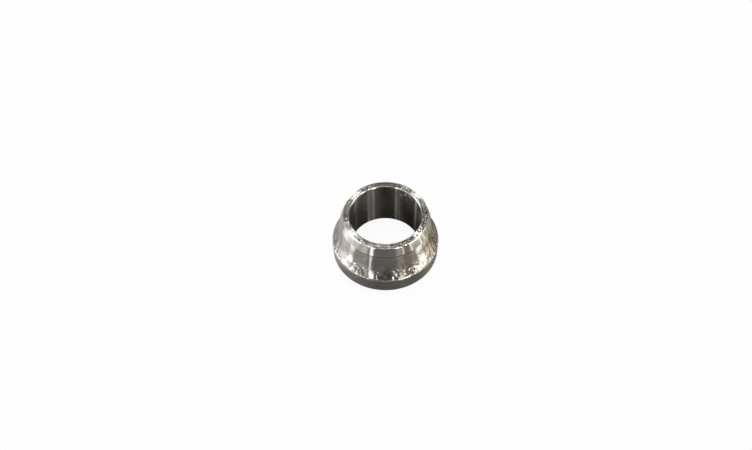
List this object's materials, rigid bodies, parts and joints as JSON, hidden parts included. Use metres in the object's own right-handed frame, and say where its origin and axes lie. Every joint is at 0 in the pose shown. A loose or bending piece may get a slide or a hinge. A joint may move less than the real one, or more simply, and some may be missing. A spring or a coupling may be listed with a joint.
{
  "type": "tube sleeve",
  "caption": "Turned steel sleeve that slides over a tube's end: a flange with a straight rim, a hollow flank and a tapered nose round a plain through bore.",
  "frame": {"origin": "centre of the bore on the flange face that the sleeve stands on", "axes": "+Z along the bore axis, from the flange towards the nose"},
  "size_m": [0.0186, 0.0186, 0.0093],
  "materials": {
    "turned_steel": "bare steel, fine turned finish, lightly oiled"
  },
  "bodies": {
    "root": {"sleeve": "turned_steel"}
  },
  "joints": []
}
